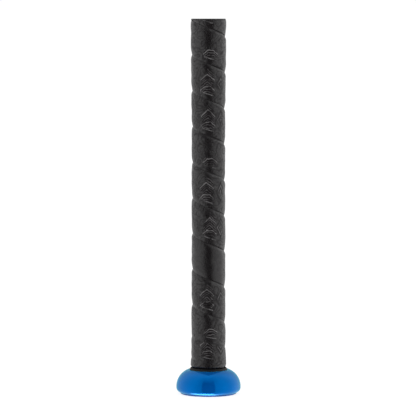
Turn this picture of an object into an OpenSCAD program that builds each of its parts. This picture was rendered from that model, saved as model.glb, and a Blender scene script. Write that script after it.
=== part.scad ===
// Bat-style swing trainer stick: a spiral-wrapped tube on a screwed-on knob, with a
// sealed weight inside it and a plug in its top end. Millimetres.
// +Z runs up the stick, and the origin is the centre of the foot that it stands on.

/* [Stick] */
// Height of the whole stick, from its foot to its top
stick_length = 287; // [200:1:420]
// Outside diameter of the handle tube below its flare
tube_od = 22; // [18:0.1:28]
// Wall thickness of the handle tube
tube_wall = 2.2; // [1.4:0.1:3]
// How much the tube's radius grows over its flare
tube_flare = 0.6; // [0:0.1:2]
// Length of the flare
flare_length = 56; // [20:1:90]
// Straight length of tube above the flare
flare_to_top = 22; // [5:1:60]

/* [Knob] */
// Diameter of the knob at its waist, its widest ring
knob_d = 49.4; // [42:0.1:60]
// Height of the flat neck that the grip stands on
knob_height = 18.4; // [16:0.1:26]
// Height of the top of the waist above the foot
knob_waist = 5.5; // [4:0.1:8]
// Height of the straight band that the waist has
knob_band = 0.6; // [0.1:0.1:1.5]
// Ledge of the flat neck left around the butt ring
neck_ledge = 1.4; // [0.5:0.1:3]
// Diameter of the flat ring at the bottom of the knob
knob_foot_d = 44.4; // [38:0.1:48]
// Wall between the screw's pocket and the tube's socket
knob_floor = 2.8; // [2:0.1:4]
// Room left under the screw's head
head_room = 0.2; // [0.1:0.1:1]
// Number of cored-out pockets under the base cap
core_count = 8; // [4:1:12]
// Thickness of the ribs between those pockets
core_rib = 2.4; // [1.5:0.1:4]
// Thickness of the walls inside and outside their ring
core_wall = 2; // [1.2:0.1:3]
// Height of those pockets
core_height = 4.6; // [2:0.1:6]

/* [Base cap] */
// Height of the lip that the stick stands on
cap_lip = 1.2; // [0.8:0.1:2]
// Ledge of bare knob left around the lip
cap_ledge = 0.6; // [0.3:0.1:3]
// Diameter of the plug that snaps into the knob
cap_plug_d = 36; // [32:0.1:37]
// Height of that plug
cap_plug = 1.7; // [1.2:0.1:2.5]
// How far the snap bead stands out of the plug
cap_bead = 0.3; // [0.1:0.05:0.4]
// Width of the flat ring that touches the ground
foot_ring = 5; // [3:0.1:8]
// Depth of the dish inside that ring
foot_dish = 0.6; // [0.2:0.1:0.9]
// Diameter of the blank badge in the dish
badge_d = 24; // [10:0.5:28]
// Height of the badge
badge_rise = 0.25; // [0.1:0.05:0.5]
// Thickness of the foam pad between the cap and the knob
pad_t = 0.5; // [0.3:0.1:1]
// Margin between that pad and the edges of what it fills
pad_margin = 1; // [0.5:0.1:2]

/* [Knob screw] */
// Shank diameter of the knob screw
screw_d = 6; // [5:0.5:8]
// Length of the shank under the head
screw_length = 22; // [16:1:26]
// Diameter of the button head
screw_head_d = 10.5; // [9:0.1:12]
// Height of the button head
screw_head_h = 3; // [2:0.1:3.5]
// Hexagon key size, across flats
screw_key = 4; // [2.5:0.5:5]
// Outside diameter of the washer
washer_d = 12.4; // [11:0.1:14]
// Thickness of the washer
washer_t = 1.1; // [0.8:0.1:1.6]

/* [Insert] */
// Length of the threaded insert inside the tube
insert_length = 30; // [26:1:40]
// Diameter of the spring pin that locks the insert
pin_d = 3; // [2:0.5:4]
// Wall thickness of that pin
pin_wall = 0.6; // [0.4:0.1:0.9]
// Distance from the insert's upper end to the pin
pin_inset = 5; // [3:0.5:8]

/* [Grip] */
// Height that the wrap gains in each full turn
wrap_pitch = 27.1; // [20:0.1:35]
// Height that it gains in each turn where it starts, above the knob
wrap_start_rise = 16; // [8:0.1:20]
// Turns wound before the wrap begins to steepen
wrap_steady_turns = 1.2; // [0.5:0.1:2]
// Turns over which it steepens to its full pitch
wrap_ease_turns = 1.1; // [0.5:0.1:3]
// Direction from which the seam leaves the butt ring, in degrees from +X
seam_start = 0; // [0:5:355]
// Thickness of the wrap at the crown of each turn
wrap_t = 1.25; // [0.9:0.05:2.2]
// Depth of the groove where two turns meet
wrap_groove = 0.85; // [0.3:0.05:1]
// Gap between the edges of neighbouring turns
wrap_gap = 0.3; // [0.1:0.05:0.6]
// Thickness of the adhesive tape under the wrap
tape_t = 0.25; // [0.15:0.05:0.6]
// Height of the foam taper that thickens the grip above the knob
taper_height = 14; // [8:1:30]
// How much thicker than the tape the taper is at its foot
taper_rise = 0.7; // [0.2:0.1:1.5]
// Thickness of the ring between the grip and the knob
butt_ring_t = 1.6; // [1:0.1:3]
// How far that ring reaches out from the tube where it sits on the knob
butt_ring_w = 3.55; // [2.5:0.05:4.5]
// Slope of the ring's rim: how much its radius shrinks towards the grip
butt_ring_slope = 0.9; // [0.2:0.1:1]

/* [End cap] */
// Thickness of the flange on top of the stick
flange_t = 1.2; // [0.8:0.1:3]
// Chamfer around the flange's upper edge
flange_edge = 0.35; // [0.1:0.05:0.6]
// Diameter of the dish in the top of the flange
cap_dish_d = 15; // [8:0.5:18]
// Depth of that dish
cap_dish = 0.4; // [0.2:0.1:0.6]
// Length of the spigot in the tube
spigot_length = 14; // [8:0.5:20]
// Wall thickness of the spigot
spigot_wall = 2.2; // [1.8:0.1:2.6]
// Thickness of each sealing ring
seal_d = 1.8; // [1.2:0.1:2.2]
// Distance from each end of the spigot to the middle of its sealing ring
seal_inset = 4.5; // [3:0.5:8]

/* [Weight] */
// Diameter of the steel weight
weight_d = 12.7; // [8:0.1:14]
// Height of the foam under the weight
lower_foam_length = 10; // [4:1:20]
// Height of the foam above the weight
upper_foam_length = 28; // [10:1:40]
// Height of each rubber bush around the weight
bush_height = 10; // [6:0.5:16]
// Distance from each end of the weight to its bush
bush_inset = 12; // [4:1:20]

/* [Hidden] */
$fn = 96;
// Clearance between pieces that sit inside each other
fit = 0.05;
// Clearance of loose holes around the screw
screw_room = 0.3;
// Bore left free past the end of the screw
bore_room = 2;
// Clearance between the end cap's spigot and the tube
spigot_room = 0.4;
// Narrowest dish left around the badge
badge_room = 1;
// Overshoot of a cut past the face that it leaves
past = 1;
// Chamfer on turned and moulded edges
edge = 0.5;
// Flat cross-sections of the wrap in each turn
wrap_steps = 36;
// Narrowest band that the wrap is drawn at, where it tapers out
wrap_min = 0.8;

tube_r = tube_od / 2;
bore_r = tube_r - tube_wall;
waist_r = knob_d / 2;
ring_r = tube_r + fit + butt_ring_w;
neck_r = ring_r + neck_ledge;
knob_foot_r = knob_foot_d / 2;
lip_r = knob_foot_r - cap_ledge;
plug_r = cap_plug_d / 2;
screw_r = screw_d / 2;
pin_r = pin_d / 2;
spigot_r = bore_r - spigot_room;
seal_r = seal_d / 2;

// Heights, from the foot upwards
recess_top = cap_lip + cap_plug + pad_t;
pocket_top = recess_top + head_room + screw_head_h + washer_t;
seat_z = pocket_top + knob_floor;
insert_top = seat_z + insert_length;
pin_z = insert_top - pin_inset;
head_z = pocket_top - washer_t;
grip_z = knob_height + butt_ring_t;
taper_top = grip_z + taper_height;
tube_top = stick_length - flange_t;
flare_top = tube_top - flare_to_top;
flare_z = flare_top - flare_length;
spigot_z = tube_top - spigot_length;
seal_low = spigot_z + seal_inset;
seal_high = tube_top - seal_inset;
weight_z = insert_top + lower_foam_length;
weight_top = spigot_z - upper_foam_length;

// ---- Shared shapes ----

// Radius of an arc that is upright at a ring of radius `wide` and passes a ring of
// radius `narrow` that lies `rise` above or below it.
function upright_arc(wide, narrow, rise) =
    (pow(wide - narrow, 2) + pow(rise, 2)) / (2 * (wide - narrow));

// Half of a round section between the heights `low` and `high`. Its outside is an arc
// with the radius `round` that is widest, at a radius of `wide`, at the height `z_wide`.
module arc_section(wide, round, z_wide, low, high) {
    intersection() {
        translate([0, low])
            square([wide + past, high - low]);
        union() {
            translate([wide - round, z_wide])
                circle(r = round);
            translate([0, low])
                square([wide - round, high - low]);
        }
    }
}

// A ring of rectangular section with chamfered outer edges.
module chamfered_ring(inner, outer, low, high, chamfer) {
    rotate_extrude()
        polygon([
            [inner, low], [outer - chamfer, low], [outer, low + chamfer],
            [outer, high - chamfer], [outer - chamfer, high], [inner, high]
        ]);
}

module disc(r, low, high) {
    translate([0, 0, low])
        cylinder(r = r, h = high - low);
}

// ---- Knob ----

module knob_section() {
    dome = upright_arc(waist_r, neck_r, knob_height - knob_waist);
    band_z = knob_waist - knob_band;
    foot = upright_arc(waist_r, knob_foot_r, band_z - cap_lip);
    arc_section(waist_r, dome, knob_waist, knob_waist, knob_height);
    translate([0, band_z])
        square([waist_r, knob_band]);
    arc_section(waist_r, foot, band_z, cap_lip, band_z);
}

// One cored-out pocket: a block of the ring between the screw's pocket and the
// recess wall, as wide as the ribs leave it.
module core_pocket(inner, outer) {
    rib_angle = core_rib / outer * 180 / PI;
    rotate([0, 0, rib_angle / 2])
        rotate_extrude(angle = 360 / core_count - rib_angle)
            translate([inner, recess_top - past])
                square([outer - inner, core_height + past]);
}

module knob_body() {
    core_inner = washer_d / 2 + screw_room + core_wall;
    core_outer = plug_r - core_wall;
    color("royalblue")
        difference() {
            rotate_extrude()
                knob_section();
            disc(tube_r + fit, seat_z, knob_height + past);
            disc(screw_r + screw_room, pocket_top - past, seat_z + past);
            disc(washer_d / 2 + screw_room, cap_lip, pocket_top);
            disc(plug_r + fit, cap_lip - past, recess_top);
            translate([0, 0, cap_lip + cap_plug / 2])
                rotate_extrude()
                    translate([plug_r, 0])
                        circle(r = cap_bead + fit);
            for (i = [0 : core_count - 1])
                rotate([0, 0, i * 360 / core_count])
                    core_pocket(core_inner, core_outer);
        }
}

// ---- Base cap, screw and what locks the tube ----

module base_cap() {
    dish_r = lip_r - foot_ring;
    color("midnightblue")
        difference() {
            union() {
                rotate_extrude()
                    polygon([
                        [0, 0], [lip_r - edge, 0], [lip_r, edge],
                        [lip_r, cap_lip], [0, cap_lip]
                    ]);
                disc(plug_r, cap_lip - past / 2, cap_lip + cap_plug);
                translate([0, 0, cap_lip + cap_plug / 2])
                    rotate_extrude()
                        translate([plug_r, 0])
                            circle(r = cap_bead);
            }
            difference() {
                disc(dish_r, -past, foot_dish);
                disc(min(badge_d / 2, dish_r - badge_room), foot_dish - badge_rise, foot_dish);
            }
        }
}

module base_cap_pad() {
    color("dimgray")
        difference() {
            disc(plug_r - pad_margin, cap_lip + cap_plug, recess_top);
            disc(washer_d / 2 + pad_margin, cap_lip, recess_top + past);
        }
}

module knob_screw() {
    head_r = screw_head_d / 2;
    head_flat_r = screw_key * 0.75;
    button = upright_arc(head_r, head_flat_r, screw_head_h);
    color("silver")
        difference() {
            union() {
                translate([0, 0, head_z])
                    mirror([0, 0, 1])
                        rotate_extrude()
                            arc_section(head_r, button, 0, 0, screw_head_h);
                rotate_extrude()
                    polygon([
                        [0, head_z - past / 2], [screw_r, head_z - past / 2],
                        [screw_r, head_z + screw_length - edge],
                        [screw_r - edge, head_z + screw_length],
                        [0, head_z + screw_length]
                    ]);
            }
            translate([0, 0, head_z - screw_head_h - past])
                cylinder(d = screw_key / cos(30), h = screw_head_h / 2 + past, $fn = 6);
        }
}

module knob_washer() {
    color("gainsboro")
        difference() {
            disc(washer_d / 2, head_z, pocket_top);
            disc(screw_r + screw_room, head_z - past, pocket_top + past);
        }
}

module tube_insert() {
    color("lightsteelblue")
        difference() {
            chamfered_ring(0, bore_r - fit, seat_z, insert_top, edge);
            disc(screw_r + fit, seat_z - past, head_z + screw_length + bore_room);
            cross_hole(pin_r + fit);
        }
}

// The hole that the spring pin goes through, from one side of the stick to the other.
module cross_hole(r) {
    translate([0, 0, pin_z])
        rotate([90, 0, 0])
            cylinder(r = r, h = tube_od + 2 * past, center = true);
}

module insert_pin() {
    pin_length = tube_od - 2 * edge;
    color("darkgray")
        translate([0, 0, pin_z])
            rotate([90, 0, 0])
                difference() {
                    cylinder(r = pin_r, h = pin_length, center = true);
                    cylinder(r = pin_r - pin_wall, h = pin_length + past, center = true);
                    translate([0, -pin_wall / 2, -pin_length])
                        cube([pin_d, pin_wall, 2 * pin_length]);
                }
}

// ---- Tube and grip ----

// Radius of the tube's outside at a height.
function tube_outside(z) =
    tube_r + lookup(z, [[flare_z, 0], [flare_top, tube_flare]]);

// Radius of what the wrap is wound on, at a height: the tape, or the taper below it.
function bed_r(z) =
    tube_outside(z) + fit + tape_t + lookup(z, [[grip_z, taper_rise], [taper_top, 0]]);

module handle_tube() {
    color("lightslategray")
        difference() {
            rotate_extrude()
                polygon([
                    [bore_r, seat_z], [tube_r, seat_z], [tube_r, flare_z],
                    [tube_r + tube_flare, flare_top], [tube_r + tube_flare, tube_top],
                    [bore_r, tube_top]
                ]);
            cross_hole(pin_r + fit);
        }
}

module butt_ring() {
    color("black")
        rotate_extrude()
            polygon([
                [tube_r + fit, knob_height], [ring_r, knob_height],
                [ring_r - butt_ring_slope, grip_z], [tube_r + fit, grip_z]
            ]);
}

module butt_taper() {
    color("gray")
        rotate_extrude()
            polygon([
                [tube_r + fit, grip_z], [bed_r(grip_z), grip_z],
                [bed_r(taper_top), taper_top], [tube_r + fit, taper_top]
            ]);
}

module under_tape() {
    heights = [taper_top, flare_z, flare_top, tube_top];
    color("beige")
        rotate_extrude()
            polygon([
                for (z = heights) [bed_r(z), z],
                for (i = [len(heights) - 1 : -1 : 0])
                    [tube_outside(heights[i]) + fit, heights[i]]
            ]);
}

// How far a smooth start has carried something after x of its length, where its speed
// grows from 0 to 1 while x goes from 0 to 1.
function eased(x) = x <= 0 ? 0 : x >= 1 ? x - 0.5 : pow(x, 3) - pow(x, 4) / 2;

// Height of the seam, the edge between one turn of the wrap and the next, after t turns.
function seam_z(t) =
    grip_z + wrap_start_rise * t
    + (wrap_pitch - wrap_start_rise) * wrap_ease_turns
    * eased((t - wrap_steady_turns) / wrap_ease_turns);

// Turns after which the seam has climbed to a height above its steepening.
function turns_to(z) =
    (z - grip_z + (wrap_pitch - wrap_start_rise) * (wrap_steady_turns + wrap_ease_turns / 2))
    / wrap_pitch;

// The wrap's cross-section, round its outline: share of the visible band's height, and
// share of the thickness. The edges are skived thin, more gently at the lower one.
function wrap_outline() =
    let (skived = 1 - wrap_groove / wrap_t)
    [
        [0, 0], [0, skived], [0.08, 0.5 + skived / 2], [0.22, 1],
        [0.86, 1], [0.95, 0.5 + skived / 2], [1, skived], [1, 0], [0.5, 0]
    ];

// One flat cross-section of the wrap after t turns, as points in space.
function wrap_ring(t) =
    let (
        low = t < 1 ? grip_z : seam_z(t - 1),
        high = min(seam_z(t) - wrap_gap, tube_top),
        turn = seam_start - 360 * t,
        bed_room = fit / cos(180 / wrap_steps)
    )
    [
        for (p = wrap_outline())
            let (
                z = low + p[0] * (high - low),
                r = (bed_r(z) + bed_room) / cos(180 / wrap_steps) + p[1] * wrap_t
            )
            [r * cos(turn), r * sin(turn), z]
    ];

module grip_wrap() {
    sides = len(wrap_outline());
    first = ceil((wrap_min + wrap_gap) / wrap_start_rise * wrap_steps);
    last = floor((turns_to(tube_top - wrap_min) + 1) * wrap_steps);
    rings = [for (i = [first : last]) wrap_ring(i / wrap_steps)];
    count = len(rings);
    color("dimgray")
        polyhedron(
            points = [for (ring = rings) each ring],
            faces = [
                [for (j = [0 : sides - 1]) j],
                [for (j = [sides - 1 : -1 : 0]) (count - 1) * sides + j],
                for (i = [0 : count - 2], j = [0 : sides - 1])
                    let (a = i * sides + j, b = i * sides + (j + 1) % sides)
                    each [[a, a + sides, b + sides], [a, b + sides, b]]
            ]
        );
}

// ---- End cap ----

// A ring around the spigot at height z, of round section with a radius of r.
module spigot_ring(z, r) {
    translate([0, 0, z])
        rotate_extrude()
            translate([bore_r - fit - seal_r, 0])
                circle(r = r);
}

module end_cap() {
    flange_r = bed_r(tube_top) + wrap_t;
    color("black")
        difference() {
            union() {
                rotate_extrude()
                    polygon([
                        [0, tube_top], [flange_r, tube_top],
                        [flange_r, stick_length - flange_edge],
                        [flange_r - flange_edge, stick_length], [0, stick_length]
                    ]);
                chamfered_ring(0, spigot_r, spigot_z, tube_top + flange_t / 2, edge);
            }
            disc(spigot_r - spigot_wall, spigot_z - past, tube_top);
            disc(cap_dish_d / 2, stick_length - cap_dish, stick_length + past);
            spigot_ring(seal_low, seal_r + fit);
            spigot_ring(seal_high, seal_r + fit);
        }
}

module end_cap_seal(z) {
    color("dimgray")
        spigot_ring(z, seal_r);
}

// ---- Weight ----

module swing_weight() {
    color("slategray")
        chamfered_ring(0, weight_d / 2, weight_z, weight_top, edge);
}

// A rubber bush that centres the weight in the tube, with its lower face at z.
module weight_bush(z) {
    color("darkslategray")
        chamfered_ring(weight_d / 2 + fit, bore_r - fit, z, z + bush_height, edge);
}

module foam_plug(low, high) {
    color("whitesmoke")
        disc(bore_r - fit, low, high);
}

knob_body();
base_cap();
base_cap_pad();
knob_screw();
knob_washer();
tube_insert();
insert_pin();
handle_tube();
butt_ring();
butt_taper();
under_tape();
grip_wrap();
end_cap();
end_cap_seal(seal_low);  // end_cap_seal_lower
end_cap_seal(seal_high);  // end_cap_seal_upper
swing_weight();
weight_bush(weight_z + bush_inset);  // weight_bush_lower
weight_bush(weight_top - bush_inset - bush_height);  // weight_bush_upper
foam_plug(insert_top, weight_z);  // lower_foam
foam_plug(weight_top, spigot_z);  // upper_foam
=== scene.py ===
"""Visual model of a bat-style swing trainer stick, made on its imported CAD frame.

Everything is in metres, with +Z up the stick and the origin at the centre of its foot.
Helpers below work in millimetres where they say so, and turn them into metres at the end.
"""
import math

import bpy
import numpy as np
from bpy.props import FloatProperty, FloatVectorProperty, PointerProperty
from bpy.types import Operator, Panel, PropertyGroup
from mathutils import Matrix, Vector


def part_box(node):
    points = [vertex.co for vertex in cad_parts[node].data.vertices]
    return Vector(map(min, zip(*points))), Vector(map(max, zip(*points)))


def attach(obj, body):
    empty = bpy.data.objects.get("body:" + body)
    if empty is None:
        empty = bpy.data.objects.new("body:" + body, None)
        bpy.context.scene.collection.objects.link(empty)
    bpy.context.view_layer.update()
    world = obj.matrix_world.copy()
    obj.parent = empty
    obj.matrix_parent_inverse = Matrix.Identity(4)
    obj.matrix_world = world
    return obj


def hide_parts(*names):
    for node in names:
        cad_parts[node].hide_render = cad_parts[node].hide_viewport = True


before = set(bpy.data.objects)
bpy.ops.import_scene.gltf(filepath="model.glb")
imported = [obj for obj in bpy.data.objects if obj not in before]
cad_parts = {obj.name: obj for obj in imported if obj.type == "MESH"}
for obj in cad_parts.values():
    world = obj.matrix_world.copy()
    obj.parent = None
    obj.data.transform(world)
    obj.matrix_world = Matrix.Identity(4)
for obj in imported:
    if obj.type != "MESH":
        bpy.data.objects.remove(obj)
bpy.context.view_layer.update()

bl_info = {
    "name": "Swing Trainer Stick",
    "version": (1, 0, 0),
    "blender": (4, 5, 0),
    "location": "3D View > Sidebar > Stick",
    "description": "Makes a spirally wrapped swing trainer stick and the studio that it stands in",
    "category": "Add Mesh",
}

MM = 0.001

# Rows of equal length that the strip is laid out in for the bake, and steps from one
# cross-section to the next in each of them
BAKE_ROWS = 5
STEPS_PER_ROW = 296

# Cells of the embossed motif round the stick
CELLS_PER_TURN = 3

# Share of a millimetre by which V changes for each millimetre of the strip's inner side
INNER_V = 0.2


# ---- Settings ----

def length(name, description, mm):
    """A property that holds a length, given in millimetres and kept in metres."""
    return FloatProperty(
        name=name, description=description, default=mm * MM, min=0, unit="LENGTH", precision=5
    )


def share(name, description, default):
    """A property that holds a share, from 0 to 1."""
    return FloatProperty(
        name=name, description=description, default=default, min=0, max=1, subtype="FACTOR"
    )


def colour(name, description, default):
    """A property that holds a linear colour."""
    return FloatVectorProperty(
        name=name, description=description, default=default, min=0, max=1, size=3, subtype="COLOR"
    )


class GripSettings(PropertyGroup):
    """Sizes and finish of the grip tape and how it is wound."""

    pitch: length("Pitch", "Height that the tape gains in each full turn", 27.3)
    start_rise: length("Start rise", "Height that it gains in each turn at the knob", 16)
    steady: FloatProperty(
        name="Steady turns", description="Turns before the tape steepens", default=1.2
    )
    ease: FloatProperty(
        name="Easing turns", description="Turns over which the tape steepens", default=1.1
    )
    thickness: length("Thickness", "Thickness at the crown of a turn", 1.53)
    overlap: length("Overlap", "Width of tape hidden under the next turn", 3)
    groove: length("Groove", "How far the lower edge's face lies below the crown", 0.95)
    lip: length("Lip", "Thickness of the lower edge", 0.32)
    lip_run: length("Lip run", "Width over which the lower edge rises to the crown", 7.5)
    seam_run: length("Seam run", "Width over which the tape dives under the next turn", 3.4)
    foot_run: length("Foot run", "Width of the rounding at the butt ring", 2.4)
    swell: length("Swell", "Extra thickness at the start, where the tape lies on its own end", 0.3)
    unevenness: length("Unevenness", "How far a hand-wound turn strays", 0.22)
    lumps: length("Lumps", "Height of the soft lumps of the cushion", 0.07)
    tape_colour: colour("Colour", "Colour of the tape", (0.0074, 0.006, 0.0067))
    # The rubbed colour is partly wear and partly a painted highlight on the ridges
    rubbed_and_highlight_colour: colour("Rubbed", "Colour of the embossed lines where rubbed", (0.1, 0.095, 0.097))
    emboss: length("Emboss", "Height of the embossed lines", 0.2)
    line_pitch: length("Line pitch", "Distance between neighbouring embossed lines", 1.9)
    grain: length("Grain", "Depth of the leather's pebble grain", 0.06)
    creases: length("Creases", "Depth of the leather's creases", 0.35)
    # Width of the painted shade along the seam crease
    crease_shade_width: length("Seam crease", "Width of the dark crease between two turns", 1.3)


class KnobSettings(PropertyGroup):
    """Finish of the knob and of the cap under it."""

    knob_colour: colour("Knob", "Colour of the knob's plastic", (0.0, 0.094, 0.41))
    gloss_tint: colour("Gloss tint", "Tint of what the knob reflects head on", (0.0, 0.8, 0.7))
    haze_tint: colour("Haze tint", "Tint of the soft haze at the knob's edges", (0.0, 0.7, 1.0))
    cap_colour: colour("Base cap", "Colour of the base cap's plastic", (0.0, 0.06, 0.24))


class TrimSettings(PropertyGroup):
    """Rubbers of the butt ring and of the end cap."""

    ring_colour: colour("Butt ring", "Colour of the ring under the grip", (0.004, 0.004, 0.004))
    cap_colour: colour("End cap", "Colour of the cap in the top", (0.012, 0.012, 0.012))
    seal_colour: colour("Seals", "Colour of the cap's sealing rings", (0.01, 0.01, 0.01))


class CoreSettings(PropertyGroup):
    """Metals, foams and tape inside the stick."""

    zinc_colour: colour("Fasteners", "Colour of the screw, washer and pin", (0.62, 0.64, 0.66))
    insert_colour: colour("Insert", "Colour of the tube's insert", (0.78, 0.79, 0.8))
    tube_colour: colour("Tube", "Colour of the tube", (0.62, 0.63, 0.65))
    weight_colour: colour("Weight", "Colour of the swing weight", (0.34, 0.35, 0.37))
    pad_colour: colour("Pad", "Colour of the base cap's pad", (0.05, 0.05, 0.05))
    taper_colour: colour("Taper", "Colour of the foam taper", (0.12, 0.12, 0.12))
    plug_colour: colour("Plugs", "Colour of the foam plugs", (0.75, 0.74, 0.7))
    tape_colour: colour("Under tape", "Colour of the tape on the tube", (0.72, 0.66, 0.5))
    bush_colour: colour("Bushes", "Colour of the weight's bushes", (0.02, 0.02, 0.022))


class StudioSettings(PropertyGroup):
    """Camera, floor and light."""

    camera_distance: length("Distance", "From the camera to the stick's axis", 2040)
    camera_height: length("Height", "Height of the camera", 287)
    aim_height: length("Aim", "Height that the camera looks at", 142.6)
    lens: FloatProperty(name="Lens", description="Focal length in millimetres", default=231.5)
    framing: FloatProperty(
        name="Framing", description="Sideways shift of the view, in widths of the frame", default=-0.0011
    )
    floor_colour: colour("Floor", "Colour of the floor", (0.2, 0.2, 0.2))
    backdrop: FloatProperty(name="Backdrop", description="Brightness behind the stick", default=1.02)
    fill: FloatProperty(name="Fill", description="Even light on matt surfaces", default=1.0)
    glow: FloatProperty(name="Glow", description="Light that the floor gives off", default=0.86)
    under: FloatProperty(name="Under light", description="Light of the floor on matt surfaces", default=1.3)
    window: FloatProperty(
        name="Window", description="Dark angle to either side of the viewer in reflections",
        default=math.radians(24), unit="ROTATION",
    )
    shoulder: share("Shoulder", "Brightness of reflections next to the window", 0.57)
    sides: share("Sides", "Brightness of reflections from the sides", 1.0)
    above: FloatProperty(name="Above", description="Brightness of reflections from above", default=1.15)
    back: share("Back", "Brightness of reflections from behind the stick", 0.6)
    low: FloatProperty(name="Low light", description="Brightness of reflections from below", default=8.0)


SETTINGS = {
    "stick_grip": GripSettings, "stick_knob": KnobSettings, "stick_trim": TrimSettings,
    "stick_core": CoreSettings, "stick_studio": StudioSettings,
}


# ---- Meshes ----

def corners_of(obj):
    """The vertices of a mesh as an array of points."""
    points = np.empty(len(obj.data.vertices) * 3, np.float32)
    obj.data.vertices.foreach_get("co", points)
    return points.reshape(-1, 3).astype(float)


def outline_of(*nodes):
    """Heights and largest radii at them of CAD nodes of revolution, in millimetres."""
    points = np.vstack([corners_of(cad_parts[n]) for n in nodes]) / MM
    heights, at = np.unique(points[:, 2].round(3), return_inverse=True)
    radii = np.zeros(len(heights))
    np.maximum.at(radii, at.ravel(), np.hypot(points[:, 0], points[:, 1]))
    return heights, radii


def grid_faces(rows, columns):
    """Quads of a grid of rows by columns of points, whose last column joins the first."""
    row, column = np.meshgrid(np.arange(rows - 1), np.arange(columns), indexing="ij")
    across = (column + 1) % columns
    quads = [row * columns + column, row * columns + across,
             (row + 1) * columns + across, (row + 1) * columns + column]
    return np.stack(quads, -1).reshape(-1, 4)


def new_piece(name, points_mm, faces, material):
    """A smooth mesh object at the origin that rides on the stick. Points are in millimetres."""
    mesh = bpy.data.meshes.new(name)
    mesh.from_pydata((points_mm * MM).tolist(), [], faces)
    mesh.validate()
    mesh.polygons.foreach_set("use_smooth", [True] * len(mesh.polygons))
    piece = bpy.data.objects.new(name, mesh)
    bpy.context.scene.collection.objects.link(piece)
    mesh.materials.append(material)
    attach(piece, "root")
    return piece


def finish_nodes(material, *nodes):
    """Gives CAD nodes a procedural material."""
    for node in nodes:
        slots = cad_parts[node].data.materials
        slots.clear()
        slots.append(material)


# ---- Materials ----

class Nodes:
    """A short way to add and join the nodes of one material."""

    def __init__(self, name, sockets=None):
        self.material = bpy.data.materials.new(name)
        self.material.use_nodes = True
        self.tree = self.material.node_tree
        self.shader = self.tree.nodes["Principled BSDF"]
        for socket, value in (sockets or {}).items():
            self.shader.inputs[socket].default_value = value

    @classmethod
    def of_world(cls, world):
        """The same for a world, whose own nodes are cleared."""
        nodes = cls.__new__(cls)
        nodes.tree = world.node_tree
        nodes.tree.nodes.clear()
        return nodes

    def add(self, kind, **settings):
        """A new shader node of a kind, with its settings."""
        node = self.tree.nodes.new("ShaderNode" + kind)
        for name, value in settings.items():
            setattr(node, name, value)
        return node

    def link(self, out, into):
        """Joins an output to an input."""
        self.tree.links.new(out, into)

    def math(self, operation, *values):
        """The output of a Math node that takes numbers or other outputs."""
        node = self.add("Math", operation=operation)
        for socket, value in zip(node.inputs, values):
            if isinstance(value, (int, float)):
                socket.default_value = value
            else:
                self.link(value, socket)
        return node.outputs[0]

    def chained(self, operation, values):
        """An operation on the first two values, then on its result and the next one, and so on."""
        result = values[0]
        for value in values[1:]:
            result = self.math(operation, result, value)
        return result

    def times(self, *values):
        """The product of the values."""
        return self.chained("MULTIPLY", values)

    def plus(self, *values):
        """The sum of the values."""
        return self.chained("ADD", values)

    def highest(self, *values):
        """The highest of the values."""
        return self.chained("MAXIMUM", values)

    def remainder(self, value):
        """What a value lacks to 1."""
        return self.math("SUBTRACT", 1.0, value)

    def size_of(self, value):
        """A value without its sign."""
        return self.math("ABSOLUTE", value)

    def ranged(self, value, low, high, to_low=0.0, to_high=1.0, smooth=True):
        """A value taken from one range into another, and held inside it."""
        node = self.add("MapRange", interpolation_type="SMOOTHSTEP" if smooth else "LINEAR")
        self.link(value, node.inputs["Value"])
        for socket, number in zip(("From Min", "From Max", "To Min", "To Max"),
                                  (low, high, to_low, to_high)):
            node.inputs[socket].default_value = number
        return node.outputs["Result"]

    def place(self):
        """The place on the piece, in metres."""
        return self.add("TexCoord").outputs["Object"]

    def split(self, vector):
        """The X, Y and Z of a vector."""
        node = self.add("SeparateXYZ")
        self.link(vector, node.inputs["Vector"])
        return [node.outputs[axis] for axis in "XYZ"]

    def noise(self, scale, detail=2.0, roughness=0.5, stretch=None):
        """Noise with features of about 1/scale metres. A stretch under 1 lengthens them."""
        vector = self.place()
        if stretch is not None:
            mapping = self.add("Mapping")
            self.link(vector, mapping.inputs["Vector"])
            mapping.inputs["Scale"].default_value = stretch
            vector = mapping.outputs["Vector"]
        node = self.add("TexNoise")
        self.link(vector, node.inputs["Vector"])
        node.inputs["Scale"].default_value = scale
        node.inputs["Detail"].default_value = detail
        node.inputs["Roughness"].default_value = roughness
        return node.outputs["Fac"]

    def bump(self, height, distance, strength=1.0, over=None):
        """Joins a height, 0 to 1 for a relief of distance metres, to the shader's normal."""
        node = self.add("Bump")
        node.inputs["Strength"].default_value = strength
        node.inputs["Distance"].default_value = distance
        self.link(height, node.inputs["Height"])
        if over is not None:
            self.link(over, node.inputs["Normal"])
        self.link(node.outputs["Normal"], self.shader.inputs["Normal"])
        return node.outputs["Normal"]

    def shade(self, value, low, high, dark, light):
        """Base colour that goes from dark to light as a value goes from low to high."""
        node = self.add("MixRGB")
        self.link(self.ranged(value, low, high), node.inputs["Fac"])
        node.inputs["Color1"].default_value = (*dark, 1)
        node.inputs["Color2"].default_value = (*light, 1)
        self.link(node.outputs["Color"], self.shader.inputs["Base Color"])

    def rough(self, value, low, high, to_low, to_high):
        """Roughness from to_low to to_high as a value goes from low to high."""
        self.link(self.ranged(value, low, high, to_low, to_high), self.shader.inputs["Roughness"])


def tinted(rgb, factor):
    """A colour made darker or lighter by a factor."""
    return tuple(min(1.0, c * factor) for c in rgb)


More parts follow.
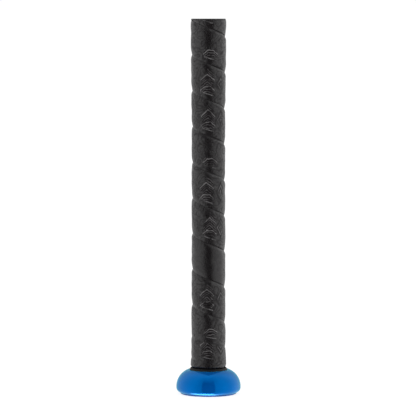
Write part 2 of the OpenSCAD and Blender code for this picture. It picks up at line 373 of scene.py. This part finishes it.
def grip_leather(settings):
    """Embossed synthetic leather: pebble grain and creases under raised lines, which are lighter where
    rubbed and with a painted highlight.

    The embossing is worn down in patches. The shine is patchy as well, and painted shade dulls it in the
    hollows between the lines and in the crease between two turns. Plain cells are smoother.
    """
    m = Nodes("GripLeather")
    along, across, _ = m.split(m.add("UVMap", uv_map="tape").outputs["UV"])
    relief, rubbed_and_highlit, hollow_shade, plain = motif(m, along, across, settings)
    busy = m.remainder(m.times(plain, 0.75))
    wear = m.ranged(m.noise(150, detail=3, roughness=0.6), 0.36, 0.6, 0.35, 1.0)
    # Painted shade along the seam crease
    seam = seam_shade(m, across, settings)

    # Lighter rubbed lines: partly wear, partly a painted highlight on the ridges
    m.shade(m.times(rubbed_and_highlit, wear), 0.15, 0.95, settings.tape_colour, settings.rubbed_and_highlight_colour)
    creases = m.noise(330, detail=4, roughness=0.6)
    m.rough(creases, 0.3, 0.7, 0.23, 0.32)
    patchy = m.ranged(m.noise(700, detail=3, roughness=0.7), 0.36, 0.64, -0.13, 0.13)
    shine = m.plus(m.times(patchy, busy), 0.56)
    # Painted shade: the reflection is dulled in the hollows between lines and in the seam crease
    painted_shade = m.highest(m.times(hollow_shade, 0.8), m.times(seam, 0.7))
    m.link(m.times(shine, m.remainder(painted_shade)), m.shader.inputs["Specular IOR Level"])

    grain = m.add("TexVoronoi", feature="SMOOTH_F1")
    m.link(m.place(), grain.inputs["Vector"])
    grain.inputs["Scale"].default_value = 2000
    grain.inputs["Smoothness"].default_value = 0.6
    pebbles = m.bump(grain.outputs["Distance"], settings.grain)
    creased = m.bump(m.times(creases, busy), settings.creases, over=pebbles)
    m.bump(m.times(relief, wear), settings.emboss, over=creased)
    return m.material


def seam_shade(m, across, settings):
    """Painted shade in the crease between two turns, as dulled reflection, from 0 to 1. It lies on both
    turns.

    It varies along the seam, and the painted shade fades towards the -X side of the stick.
    """
    width = settings.crease_shade_width / MM
    seam = settings.pitch / MM - width / 4
    lower_side = m.ranged(across, width * 0.3, width * 0.6, 1.0, 0.0)
    upper_side = m.ranged(across, seam - width * 0.5, seam)
    shade = m.highest(lower_side, upper_side)
    x, _, _ = m.split(m.place())
    # The painted shade is strongest on the +X side of the stick
    shaded_side = m.ranged(x, -0.004, 0.005, 0.3, 1.0)
    broken = m.ranged(m.noise(60), 0.35, 0.55, 0.4, 1.0)
    return m.times(shade, m.times(shaded_side, broken))


class MotifCell:
    """The embossed motif's cell: places in it in millimetres, and shapes drawn from them.

    The tape is divided along its length into equal cells. p runs level round the stick from
    near the cell's middle, and strays from it by up to 1.6 mm from cell to cell. q runs
    upright, from about half the tape's width. Cells are counted in a fixed order of 24.
    """

    # Share of a cell by which the first one starts late
    start_share = 0.25
    # Height of q = 0 over the tape's lower edge, at a cell's middle
    middle = 13.5
    # Most that a cell's own middle strays
    stray = 1.6
    # Distance of the diamonds from a cell's middle
    diamonds_at = 10.6
    # Cells after which the order starts again
    in_order = 24.0

    def __init__(self, m, along, across, settings):
        self.m = m
        cell = motif_cell(settings)
        step = m.math("SUBTRACT", m.math("DIVIDE", along, cell), self.start_share)
        index = m.math("FLOOR", step)
        p = m.times(m.math("SUBTRACT", m.math("SUBTRACT", step, index), 0.5), cell)
        climb = settings.pitch / MM / turn_length(settings)
        self.q = m.math("SUBTRACT", m.plus(across, m.times(p, climb)), self.middle)
        self.from_diamonds = m.size_of(m.math("SUBTRACT", self.diamonds_at, m.size_of(p)))
        self.p = m.plus(p, m.times(m.math("SINE", m.times(index, 1.3)), self.stray))
        self.side = m.size_of(self.p)
        self.order = m.math("MODULO", index, self.in_order)

    def among(self, *numbers):
        """1 in the cells whose place in the order is one of the numbers."""
        found = 0.0
        for number in numbers:
            found = self.m.highest(found, self.m.math("COMPARE", self.order, float(number), 0.5))
        return found

    def ridges(self, value, step, width):
        """Ridges of a width where a value is a whole number of steps, all in millimetres."""
        m = self.m
        share_of_step = m.plus(m.math("DIVIDE", value, step), 0.5)
        off = m.size_of(m.math("SUBTRACT", m.math("FRACT", share_of_step), 0.5))
        return m.ranged(off, width * 0.2 / step, width * 0.6 / step, 1.0, 0.0)

    def below(self, value, limit, soft):
        """1 below a limit and 0 above it, and in between for soft millimetres to either side."""
        return self.m.ranged(value, limit - soft, limit + soft, 1.0, 0.0)

    def above(self, value, limit, soft):
        """1 above a limit and 0 below it, and in between for soft millimetres to either side."""
        return self.m.ranged(value, limit - soft, limit + soft)


def motif(m, along, across, settings):
    """Embossed lines of the tape: their height, where they are rubbed and carry a painted highlight, the
    painted shade in the hollows between them, and the plain cells.

    In the middle of a cell the lines nest as roofs: they lie where r = q + slant |p|, roughened
    by a noise, is a whole number of line pitches away from a first line, and every fifth one
    is broad. In the cell's lower part |p| is lessened by pitch / slant and held at 0, which
    gives them flat tops. At both sides of a cell stand nested diamonds, which lie where
    0.7 |q + 1.5| plus the distance from their middle and a noise is a whole number of
    steps, and which are stronger on the -p side. Outside the roofs, shallow grooves follow
    the contours of a noise. Some cells hold only the roofs' lower part and the grooves, and
    the plain ones only faint grooves. Height runs from the grooves' -0.35 to 1, and the other
    results from 0 to 1.
    """
    cell, pitch = MotifCell(m, along, across, settings), settings.line_pitch / MM
    slant, flat_below, first_line = 0.85, -2.5, 3.3
    empty = cell.among(4, 12, 17)
    lower_only = cell.among(6, 13, 21)

    flat = m.times(m.math("LESS_THAN", cell.q, flat_below), pitch / slant)
    beyond = m.highest(m.math("SUBTRACT", cell.side, flat), 0.0)
    r = m.plus(cell.q, m.times(beyond, slant))
    r = m.plus(r, m.ranged(m.noise(320, detail=1), 0.2, 0.8, -0.7, 0.7, smooth=False))
    from_first = m.plus(r, first_line)

    highest_line = m.ranged(cell.p, -0.1, 0.1, 10.4, 6.4)
    drawn = m.times(
        m.math("LESS_THAN", r, highest_line), cell.below(cell.side, 5.0, 0.6),
        cell.above(cell.q, -8.0, 0.2),
    )
    upper = cell.above(cell.q, flat_below, 0.1)
    kept = m.remainder(m.highest(empty, m.times(upper, lower_only)))
    ground = m.times(drawn, kept)
    broad = m.times(
        cell.ridges(from_first, 5 * pitch, 1.05), cell.below(cell.side, 5.8, 0.2),
        cell.below(r, 7.1, 0.1), cell.above(cell.q, -8.4, 0.2), kept,
    )
    fine = m.times(cell.ridges(from_first, pitch, 0.8), ground, 0.65)
    hem_height, only_one = 4.6, 60.0
    hem = m.times(
        cell.ridges(m.math("SUBTRACT", across, hem_height), only_one, 0.8),
        cell.below(cell.side, 4.8, 0.2), kept, 0.7,
    )
    roofs = m.highest(broad, fine, hem)

    from_middle = m.size_of(m.plus(cell.q, 1.5))
    outwards = m.plus(m.times(from_middle, 0.7), cell.from_diamonds)
    outwards = m.plus(outwards, m.times(m.noise(120, detail=1), 3.6))
    whole = m.remainder(m.highest(empty, lower_only))
    fading = m.times(
        m.ranged(cell.p, -1.0, 1.0, 1.0, 0.45), m.ranged(m.noise(95), 0.36, 0.56, 0.35, 1.0)
    )
    beside = m.times(
        cell.below(outwards, 7.4, 0.6), cell.above(cell.side, 5.5, 0.3), whole, fading
    )
    diamonds = m.times(cell.ridges(outwards, pitch * 1.35, 1.1), beside)

    contours = cell.ridges(m.times(m.noise(90, detail=1), 22.0), pitch * 1.3, 0.9)
    grooves = m.times(contours, m.remainder(ground), m.remainder(m.times(empty, 0.6)))

    raised = m.highest(roofs, diamonds)
    height = m.math("SUBTRACT", raised, m.times(grooves, 0.35))
    # Where the lines get the lighter colour: rubbed wear and a painted highlight
    rubbed_and_highlit = m.highest(roofs, m.times(diamonds, 0.6))
    # Painted shade in the hollows between lines and in the grooves, as dulled reflection
    between = m.times(m.highest(m.times(ground, 0.9), m.times(beside, 0.7)), m.remainder(raised))
    return height, rubbed_and_highlit, m.highest(between, m.times(grooves, 0.55)), empty


def knob_plastic(settings):
    """Glossy moulded plastic with faint flow marks, which are wider than they are high."""
    m = Nodes("KnobPlastic", {
        "Metallic": 0.4, "IOR": 1.7, "Specular Tint": (*settings.gloss_tint, 1),
        "Sheen Weight": 0.55, "Sheen Roughness": 0.3, "Sheen Tint": (*settings.haze_tint, 1),
    })
    flow = m.noise(45, detail=3, stretch=(1, 1, 2.5))
    m.shade(flow, 0.35, 0.65, tinted(settings.knob_colour, 0.95), tinted(settings.knob_colour, 1.05))
    m.rough(m.noise(900, detail=2), 0.3, 0.7, 0.03, 0.06)
    m.bump(m.noise(160, detail=2), distance=0.00004, strength=0.1)
    return m.material


def base_plastic(settings):
    """Satin moulded plastic with faint flow marks and a fine spark texture."""
    m = Nodes("BasePlastic", {"Specular IOR Level": 0.2})
    flow = m.noise(80, detail=3)
    m.shade(flow, 0.35, 0.65, tinted(settings.cap_colour, 0.93), tinted(settings.cap_colour, 1.07))
    m.rough(flow, 0.3, 0.7, 0.4, 0.5)
    m.bump(m.noise(3600, detail=1), distance=0.00002, strength=0.3)
    return m.material


def black_rubber(name, colour_rgb, roughness, shine=0.4):
    """Moulded rubber with a dusty, finely pitted skin."""
    m = Nodes(name, {"Specular IOR Level": shine})
    dust = m.noise(140, detail=4)
    m.shade(dust, 0.35, 0.7, tinted(colour_rgb, 0.8), tinted(colour_rgb, 1.5))
    m.rough(dust, 0.3, 0.7, roughness - 0.06, roughness + 0.06)
    m.bump(m.noise(4000, detail=2), distance=0.00005, strength=0.4)
    return m.material


# Factors for a metal's tool marks: one under 1 stretches them along its axis
DRAWN = (1, 1, 0.03)
ROLLED = (1, 1, 0.2)
TURNED = (0.1, 0.1, 1)


def bare_metal(name, colour_rgb, roughness, marks_lie):
    """Bare metal whose fine tool marks are drawn, rolled or turned."""
    m = Nodes(name, {"Metallic": 1.0})
    marks = m.noise(3000, detail=3, stretch=marks_lie)
    m.shade(marks, 0.3, 0.7, tinted(colour_rgb, 0.85), tinted(colour_rgb, 1.1))
    m.rough(marks, 0.3, 0.7, roughness - 0.07, roughness + 0.08)
    m.bump(marks, distance=0.00002, strength=0.4)
    return m.material


def cell_foam(name, colour_rgb, cell):
    """Foam with open cells of about the given size in metres, with painted shade in their middles."""
    m = Nodes(name, {"Roughness": 0.9})
    cells = m.add("TexVoronoi", feature="F1")
    m.link(m.place(), cells.inputs["Vector"])
    cells.inputs["Scale"].default_value = 1 / cell
    # Painted shade: darker towards the middle of each cell
    m.shade(cells.outputs["Distance"], 0.1, 0.6, tinted(colour_rgb, 0.55), tinted(colour_rgb, 1.05))
    m.bump(cells.outputs["Distance"], distance=cell * 0.3, strength=0.6)
    return m.material


def woven_tape(colour_rgb):
    """Adhesive tape with a crossed weave: the product of a sine round the stick and one up it."""
    waves_round, radians_per_metre = 90.0, 7800.0
    m = Nodes("WovenTape", {"Roughness": 0.7})
    x, y, z = m.split(m.place())
    warp = m.math("SINE", m.times(m.math("ARCTAN2", y, x), waves_round))
    weft = m.math("SINE", m.times(z, radians_per_metre))
    weave = m.times(warp, weft)
    m.shade(weave, -1, 1, tinted(colour_rgb, 0.82), colour_rgb)
    m.bump(weave, distance=0.00004, strength=0.5)
    return m.material


# ---- Grip ----

def turn_length(grip):
    """Level distance once round the tape's outer side, in millimetres."""
    return 2 * math.pi * (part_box("under_tape")[0][0] / -MM + grip.thickness / MM)


def motif_cell(grip):
    """Length of one cell of the embossed motif along the tape, in millimetres."""
    return turn_length(grip) / CELLS_PER_TURN


def eased(x):
    """Distance covered after a share x of a start whose speed grows as 3x^2 - 2x^3 up to 1."""
    run = np.clip(x, 0, 1)
    return run**3 - run**4 / 2 + np.maximum(x - 1, 0)


def wander(turns, size, seed):
    """Smooth unevenness of hand winding: three waves whose sum doesn't repeat on the stick."""
    waves = ((0.37, 0.45), (0.83, 0.35), (1.61, 0.2))
    return size * sum(a * np.sin(2 * np.pi * (f * turns + seed * f * 1.7)) for f, a in waves)


def lumps(along, across, size):
    """Soft unevenness of the cushion: the sum of plane waves 7 to 18 mm long, in all directions."""
    rng = np.random.default_rng(5)
    waves, total = 16, 0.0
    for _ in range(waves):
        way, wave, start = rng.uniform(0, math.pi), rng.uniform(7, 18), rng.uniform(0, 2 * math.pi)
        run = (along * math.cos(way) + across * math.sin(way)) / wave
        total = total + np.sin(2 * np.pi * run + start)
    return size * total / math.sqrt(waves / 2)


def seam_height(grip, turns, foot):
    """Height in millimetres of the seam after some turns, where the next turn's lower edge lies.

    It climbs by the start rise for each turn at first, and eases into the full pitch.
    """
    rise, pitch = grip.start_rise / MM, grip.pitch / MM
    lift = (pitch - rise) * grip.ease * eased((turns - grip.steady) / grip.ease)
    stray = wander(turns, grip.unevenness / MM, 1.0) * np.clip(turns - 0.3, 0, 1)
    return foot + rise * turns + lift + stray


def turns_of_rows(grip, low, high, rows):
    """Numbers of turns at which the rows of the strip lie, equally spaced.

    They run from where the first turn has just risen from the butt ring to one turn past
    where the seam has almost reached the end cap, so that the last turn closes the top.
    """
    first_rise, last_gap, most_turns = 1.0, 0.6, 20
    probe = np.linspace(0, most_turns, 4001)
    seam = seam_height(grip, probe, low)
    first = np.interp(low + first_rise, seam, probe)
    last = np.interp(high - last_gap, seam, probe) + 1
    return np.linspace(first, last, rows)[:, None]


def dome(x):
    """1 - (1 - x)^2 held between 0 and 1: a steep rise that ends level."""
    return 1 - (1 - np.clip(x, 0, 1))**2


def places_across(height, edge_radius):
    """Places across a band of a height, as one closed round, and which of them lie outside.

    They cover a rounded lower edge, then the outer side upwards, closer together at both of
    its borders, then the inner side downwards. The last one isn't the first one again,
    because the faces close the round.
    """
    outer_points, inner_points, crowding = 46, 12, 0.05
    edge = edge_radius * (1 - np.cos(np.radians([0, 25, 50, 72])))
    outer = np.linspace(0, 1, outer_points)
    outer = outer - crowding * np.sin(2 * np.pi * outer)
    inner = np.linspace(1, 0, inner_points)[:-1]
    v = np.concatenate(
        [edge + 0 * height, edge_radius + (height - edge_radius) * outer, height * inner], axis=1
    )
    return v, np.arange(v.shape[1]) < len(edge) + len(outer)


def tape_surface(grip, rows):
    """Points of the wound tape as rows of one closed cross-section each, and their tape UVs.

    A row belongs to a number of turns t, at the direction -360 t degrees. Its outer side is
    the bed's radius plus the tape's height there: the thickness, times a dome that rises from
    the lower edge and a dome that dives to the height of the seam where the next turn covers
    the tape. Its inner side lies on the bed, and on the turn below where it covers that.
    Lengths are in millimetres.
    """
    low, high = (c[2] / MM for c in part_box("grip_wrap"))
    bed_z, bed_radii = outline_of("butt_taper", "under_tape")
    t = turns_of_rows(grip, low, high, rows)
    edge_radius, first_lip, bed_gap, swell_fade, hidden_thinning = 0.3, 0.3, 0.03, 45, 0.4

    crown, overlap, lip_t = grip.thickness / MM, grip.overlap / MM, grip.lip / MM
    foot = np.where(t < 1, low, seam_height(grip, t - 1, low))
    swell = grip.swell / MM * np.exp((low - foot) / swell_fade)
    seam = seam_height(grip, t, low)
    top = np.minimum(seam + overlap, high)
    v, outside = places_across(top - foot, edge_radius)
    # 0 where the tape lies on the taper, 1 from where it is wound on itself
    wound = np.clip((t - 0.9) / 0.5, 0, 1)

    def lip_face(turns):
        """Height of the lower edge's face: nearly flush until the tape is well wound on itself."""
        return crown - grip.groove / MM * np.interp(turns, [2.6, 3.4], [0.22, 1.0])

    hidden_face = lip_face(t + 1) - lip_t

    def under(v):
        """Height of the inner side: what the turn below leaves under this one."""
        hidden = (lip_face(t) - lip_t) * (1 - hidden_thinning * np.clip(v / overlap, 0, 1))
        return bed_gap + hidden * wound * np.clip(overlap + 1 - v, 0, 1)

    def over(v):
        """Height of the outer side."""
        lip = wound * lip_face(t) + (1 - wound) * first_lip
        run = wound * grip.lip_run / MM + (1 - wound) * grip.foot_run / MM
        lower = lip + (crown - lip) * dome(v / run)
        depth = seam - (foot + v)
        dive = hidden_face * (1 + hidden_thinning * np.clip(depth / overlap, -1, 0))
        upper = dive + (crown - dive) * dome(depth / (grip.seam_run / MM))
        round_edge = np.sqrt(1 - (1 - np.clip(v / edge_radius, 0, 1))**2)
        whole = lower * upper / crown
        return under(v) + (whole - under(v)) * round_edge

    z = foot + v
    around = turn_length(grip) * t
    # The face is a little uneven too. This and the swell start over a few millimetres.
    stray = wander(t + v / 60, grip.unevenness / MM * 0.15, 2.0)
    stray = stray + lumps(around, v, grip.lumps / MM)
    bed = np.interp(z, bed_z, bed_radii)
    outer_lift = over(v) + stray * dome(v / 6) * wound + swell * dome(v / 3)
    radius = bed + np.where(outside, outer_lift, under(v))
    turn = -2 * np.pi * t
    points = np.stack([radius * np.cos(turn), radius * np.sin(turn), z], -1)
    # The inner side's V runs from -1 to lower values, where the motif has no roofs or diamonds.
    uv = np.stack([around + 0 * v, np.where(outside, v, -1 - v * INNER_V)], -1)
    return points, uv


def corners_and_counts(mesh):
    """Vertex of each face corner, first corner of each face and number of corners of each."""
    first = np.empty(len(mesh.polygons), np.int32)
    corner = np.empty(len(mesh.loops), np.int32)
    mesh.polygons.foreach_get("loop_start", first)
    mesh.loops.foreach_get("vertex_index", corner)
    return corner, first, np.diff(np.append(first, len(corner)))


def add_uvs(mesh, name, places):
    """A UV map with the given place for each face corner."""
    layer = mesh.uv_layers.new(name=name)
    layer.uv.foreach_set("vector", places.ravel().astype(np.float32))


def lay_out_for_baking(mesh, points, tape_uv, rows):
    """Adds a UV map that cuts the strip into equal lengths and stacks them as rows.

    A row's width is the outer side at full size and then the inner side at a sixth of it. A
    quad that joins the last column to the first reaches the row's border. The two end faces
    lie side by side above the rows, as flat cross-sections. Lengths are in millimetres until
    the end, where the whole map is fitted into the unit square with a small margin.
    """
    side_gap, row_gap, inner_share, margin = 0.5, 0.8, 6, 0.002
    end_width, end_step, end_gap, end_scale, end_room = 0.4, 0.5, 1, 2, 6
    sections, columns = points.shape[:2]
    corner, first, count = corners_and_counts(mesh)
    section, column = corner // columns, corner % columns

    v = tape_uv[..., 1]
    across = np.where(v >= 0, v, -(v + 1) / INNER_V)
    wide = across.max()
    width = np.where(v >= 0, across, wide + side_gap + (wide - across) / inner_share)
    border = wide + wide / inner_share + 2 * side_gap
    row_height = border + row_gap
    closing = np.repeat(np.maximum.reduceat(column, first) == columns - 1, count) & (column == 0)
    step = (sections - 1) // rows
    row = np.repeat(np.minimum.reduceat(section, first) // step, count)
    height = row * row_height + np.where(closing, border, width[section, column])
    places = np.stack([row + 1 - section / step, height], -1)

    lift = np.hypot(points[..., 0], points[..., 1])
    lift = lift - lift.min(axis=1, keepdims=True)
    # Only the first and the last row of points have an end face.
    is_last = np.arange(sections)[:, None] > 0
    top = rows * row_height
    at_end = np.stack(
        [across / wide * end_width + end_step * is_last, top + end_gap + end_scale * lift], -1
    )
    is_end = np.repeat(count > 4, count)
    places[is_end] = at_end[section, column][is_end]
    add_uvs(mesh, "OFBake", margin + (1 - 2 * margin) * places / (1, top + end_room))


class STICK_OT_wind_grip(Operator):
    """Winds the grip tape round the tube, from the butt ring to the end cap"""

    bl_idname = "stick.wind_grip"
    bl_label = "Grip tape"

    def execute(self, context):
        grip = context.scene.stick_grip
        points, uv = tape_surface(grip, BAKE_ROWS * STEPS_PER_ROW + 1)
        rows, columns = points.shape[:2]
        start = np.arange(columns)[::-1]
        end = (rows - 1) * columns + np.arange(columns)
        faces = [*grid_faces(rows, columns).tolist(), start.tolist(), end.tolist()]
        piece = new_piece(
            "GripTape", points.reshape(-1, 3), faces, grip_leather(grip)
        )
        corner, _, _ = corners_and_counts(piece.data)
        add_uvs(piece.data, "tape", uv.reshape(-1, 2)[corner])
        lay_out_for_baking(piece.data, points, uv, BAKE_ROWS)
        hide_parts("grip_wrap")
        # Cut at a slant at both ends, so the area is less than the width times the length
        return {"FINISHED"}


class STICK_OT_finish_knob(Operator):
    """Gives the knob and its base cap their plastics"""

    bl_idname = "stick.finish_knob"
    bl_label = "Knob and base cap"

    def execute(self, context):
        knob = context.scene.stick_knob
        finish_nodes(knob_plastic(knob), "knob_body")
        finish_nodes(base_plastic(knob), "base_cap")
        return {"FINISHED"}


class STICK_OT_finish_trim(Operator):
    """Gives the butt ring, the end cap and its sealing rings their rubbers"""

    bl_idname = "stick.finish_trim"
    bl_label = "Butt ring and end cap"

    def execute(self, context):
        trim = context.scene.stick_trim
        finish_nodes(black_rubber("ButtRubber", trim.ring_colour, 0.55, shine=0.2), "butt_ring")
        finish_nodes(black_rubber("CapRubber", trim.cap_colour, 0.5), "end_cap")
        seals = black_rubber("SealRubber", trim.seal_colour, 0.35)
        finish_nodes(seals, "end_cap_seal_lower", "end_cap_seal_upper")
        return {"FINISHED"}


class STICK_OT_finish_core(Operator):
    """Gives the pieces inside the stick their metals, foams and tape"""

    bl_idname = "stick.finish_core"
    bl_label = "Core"

    def execute(self, context):
        core = context.scene.stick_core
        zinc = bare_metal("ZincSteel", core.zinc_colour, 0.3, ROLLED)
        finish_nodes(zinc, "knob_screw", "knob_washer", "insert_pin")
        finish_nodes(bare_metal("InsertAluminium", core.insert_colour, 0.25, TURNED), "tube_insert")
        finish_nodes(bare_metal("TubeAluminium", core.tube_colour, 0.32, DRAWN), "handle_tube")
        finish_nodes(bare_metal("WeightSteel", core.weight_colour, 0.36, TURNED), "swing_weight")
        finish_nodes(cell_foam("PadFoam", core.pad_colour, 0.0006), "base_cap_pad")
        finish_nodes(cell_foam("TaperFoam", core.taper_colour, 0.0008), "butt_taper")
        finish_nodes(cell_foam("PlugFoam", core.plug_colour, 0.0016), "lower_foam", "upper_foam")
        finish_nodes(woven_tape(core.tape_colour), "under_tape")
        bush = black_rubber("BushRubber", core.bush_colour, 0.55)
        finish_nodes(bush, "weight_bush_lower", "weight_bush_upper")
        return {"FINISHED"}


# ---- Studio ----

def studio_world(studio):
    """White surroundings, in which reflections also see a dark window on the viewer's side.

    Light on matt surfaces is even from all sides. In reflections the surroundings darken
    where the viewer stands, inside the window's angle to either side of -Y and under its
    height, and they dim towards +Y except low down. They are brighter behind the +X side,
    and glow from below, least of all on the +X side.
    """
    world = bpy.data.worlds.new("Studio")
    bpy.context.scene.world = world
    world.use_nodes = True
    m = Nodes.of_world(world)
    x, y, z = m.split(m.add("TexCoord").outputs["Generated"])
    turn = m.size_of(m.math("ARCTAN2", x, m.times(y, -1.0)))
    rise = m.math("ARCSINE", z)

    def between(angle, start, end, from_value=0.0, to_value=1.0, smooth=True):
        """A value that changes while an angle goes from start to end, both in degrees."""
        return m.ranged(angle, math.radians(start), math.radians(end), from_value, to_value, smooth)

    soft_angle = 0.02
    near = m.ranged(
        turn, studio.window - soft_angle, studio.window + soft_angle, 0.0, studio.shoulder
    )
    gain = studio.sides - studio.shoulder
    wide = m.ranged(turn, studio.window, math.radians(60), 0.0, gain, smooth=False)
    high = between(rise, 34, 88, 0.0, studio.above, smooth=False)
    lit = m.highest(m.plus(near, wide), high)
    right = m.times(m.ranged(x, 0.3, 0.7), between(turn, 80, 115))
    lit = m.times(lit, m.plus(m.times(right, 0.25), 1.0))

    back = between(turn, 115, 170, 1.0, studio.back)
    back = m.highest(back, between(rise, -22, -12, 1.0, 0.0))

    below_behind = m.times(between(rise, -66, -50, 1.0, 0.0), between(turn, 60, 100))
    below = m.highest(below_behind, between(rise, -75, -60, 1.0, 0.0))
    below = m.times(below, m.ranged(x, 0.15, 0.21, 1.0, 0.15))
    seen = m.plus(m.times(lit, back), m.times(below, studio.low))

    path = m.add("LightPath")
    matt = m.times(path.outputs["Is Diffuse Ray"], studio.fill - studio.backdrop)
    mix = m.add("Mix", data_type="FLOAT")
    m.link(path.outputs["Is Glossy Ray"], mix.inputs["Factor"])
    m.link(m.plus(matt, studio.backdrop), mix.inputs["A"])
    m.link(seen, mix.inputs["B"])
    background = m.add("Background")
    background.inputs["Color"].default_value = (1, 1, 1, 1)
    m.link(mix.outputs["Result"], background.inputs["Strength"])
    m.link(background.outputs["Background"], m.add("OutputWorld").inputs["Surface"])


def studio_floor(studio):
    """A round floor at the height of the foot: rings of points at growing radii, in metres.

    It is pale and finely mottled, gives off light, and isn't seen in reflections.
    """
    around = np.linspace(0, 2 * np.pi, 96, endpoint=False)
    radii = np.array([0.0, 1.0, 3.0, 12.0])[:, None]
    points = np.stack([radii * np.cos(around), radii * np.sin(around), 0 * radii * around], -1)
    mesh = bpy.data.meshes.new("Floor")
    faces = grid_faces(len(radii), len(around)).tolist()
    mesh.from_pydata(points.reshape(-1, 3).tolist(), [], faces)
    mesh.validate()
    floor = bpy.data.objects.new("Floor", mesh)
    bpy.context.scene.collection.objects.link(floor)
    m = Nodes("FloorPaper", {
        "Roughness": 0.8, "Specular IOR Level": 0.1, "Emission Color": (1, 1, 1, 1),
    })
    matt = m.add("LightPath").outputs["Is Diffuse Ray"]
    glow = m.plus(m.times(matt, studio.under - studio.glow), studio.glow)
    m.link(glow, m.shader.inputs["Emission Strength"])
    m.shade(m.noise(8, detail=3), 0.3, 0.7, tinted(studio.floor_colour, 0.99), studio.floor_colour)
    mesh.materials.append(m.material)
    floor.visible_glossy = False


def studio_camera(studio):
    """A camera in front of the stick, on -Y, that looks down at the aim."""
    camera = bpy.data.cameras.new("Camera")
    camera.lens = studio.lens
    camera.sensor_width = 36
    camera.shift_x = studio.framing
    camera.clip_start = 0.05
    camera.clip_end = 100
    holder = bpy.data.objects.new("Camera", camera)
    bpy.context.scene.collection.objects.link(holder)
    drop = math.atan2(studio.camera_height - studio.aim_height, studio.camera_distance)
    holder.location = (0, -studio.camera_distance, studio.camera_height)
    holder.rotation_euler = (math.pi / 2 - drop, 0, 0)
    bpy.context.scene.camera = holder


class STICK_OT_make_studio(Operator):
    """Makes the camera, the pale floor and the soft light"""

    bl_idname = "stick.make_studio"
    bl_label = "Studio"

    def execute(self, context):
        studio = context.scene.stick_studio
        context.scene.view_settings.view_transform = "Standard"
        context.scene.view_settings.look = "None"
        studio_world(studio)
        studio_floor(studio)
        studio_camera(studio)
        return {"FINISHED"}


# ---- Add-on ----

OPERATORS = (
    STICK_OT_make_studio, STICK_OT_wind_grip, STICK_OT_finish_knob,
    STICK_OT_finish_trim, STICK_OT_finish_core,
)


class STICK_PT_pieces(Panel):
    """Lists the stick's pieces and the studio"""

    bl_idname = "STICK_PT_pieces"
    bl_label = "Swing Trainer Stick"
    bl_space_type = "VIEW_3D"
    bl_region_type = "UI"
    bl_category = "Stick"

    def draw(self, context):
        for operator in OPERATORS:
            self.layout.operator(operator.bl_idname)
        for name in SETTINGS:
            box = self.layout.box()
            settings = getattr(context.scene, name)
            for key in SETTINGS[name].__annotations__:
                box.prop(settings, key)


CLASSES = (*SETTINGS.values(), *OPERATORS, STICK_PT_pieces)


def register():
    """Registers the classes, and gives the scene their settings."""
    for cls in CLASSES:
        bpy.utils.register_class(cls)
    for name, group in SETTINGS.items():
        setattr(bpy.types.Scene, name, PointerProperty(type=group))


def unregister():
    """Takes back what register did."""
    for name in SETTINGS:
        delattr(bpy.types.Scene, name)
    for cls in reversed(CLASSES):
        bpy.utils.unregister_class(cls)


def main():
    register()
    bpy.ops.stick.make_studio()
    bpy.ops.stick.wind_grip()
    bpy.ops.stick.finish_knob()
    bpy.ops.stick.finish_trim()
    bpy.ops.stick.finish_core()


if __name__ == "__main__":
    main()
